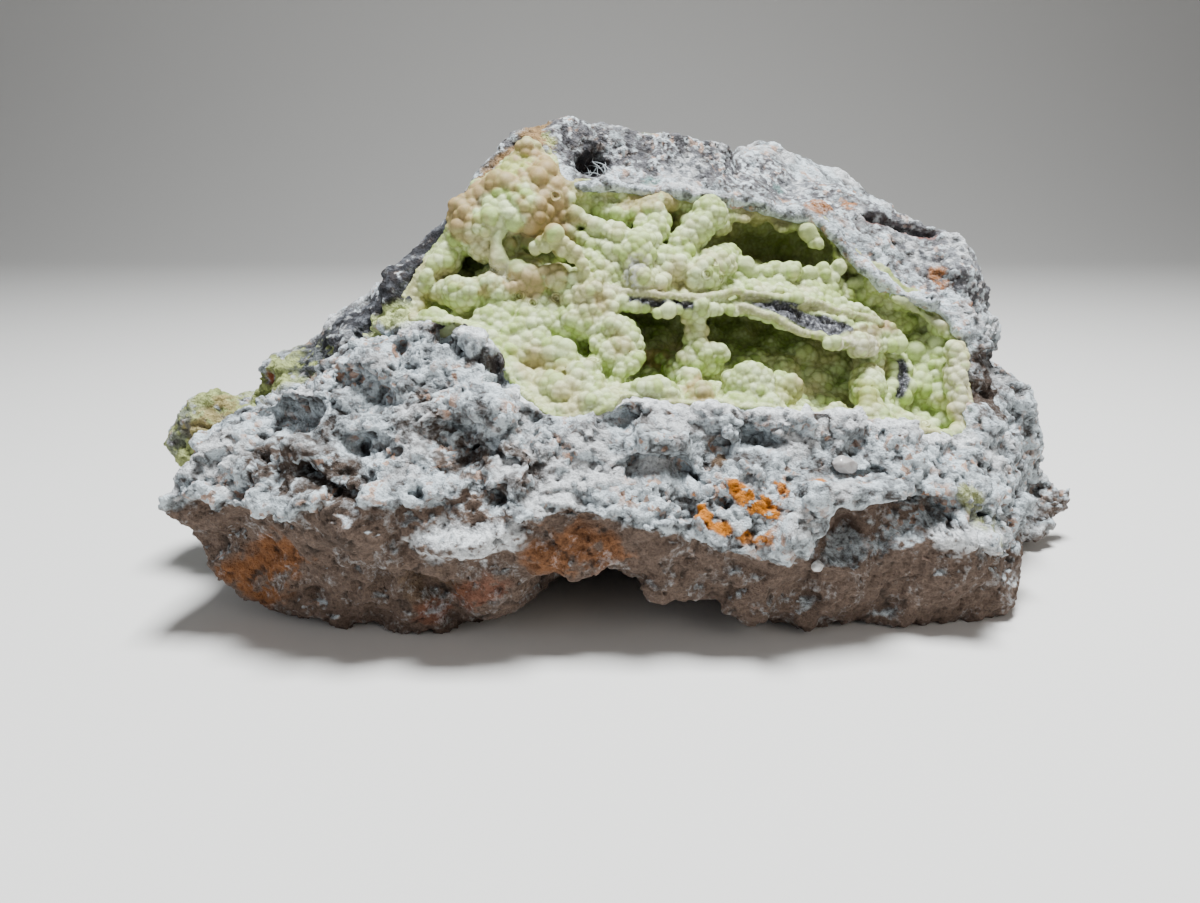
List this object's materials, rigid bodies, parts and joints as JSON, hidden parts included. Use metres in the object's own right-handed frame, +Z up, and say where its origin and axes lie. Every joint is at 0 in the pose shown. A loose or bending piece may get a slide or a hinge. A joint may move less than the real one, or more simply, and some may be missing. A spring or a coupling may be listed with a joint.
{
  "type": "mineral specimen",
  "caption": "Rough grey-white lump of rock, undercut below, with a wide sloping vug in its front lined by a lime-green botryoidal wavellite crust with a shelf, stems and knobs.",
  "frame": {"origin": "middle of the bounding box in X and Y, on the plane the specimen rests on", "axes": "+Z up; the vug opens towards -Y and upwards; +X to the right as seen from the front, along the specimen's length"},
  "size_m": [0.2192, 0.1062, 0.1013],
  "materials": {
    "matrix": "crumbly siliceous rock, matt, pitted and iron-stained in places",
    "wavellite_crust": "pale lime-green radiating phosphate in small balls, waxy to silky"
  },
  "bodies": {
    "root": {"matrix": "matrix", "wavellite_crust": "wavellite_crust"}
  },
  "joints": []
}
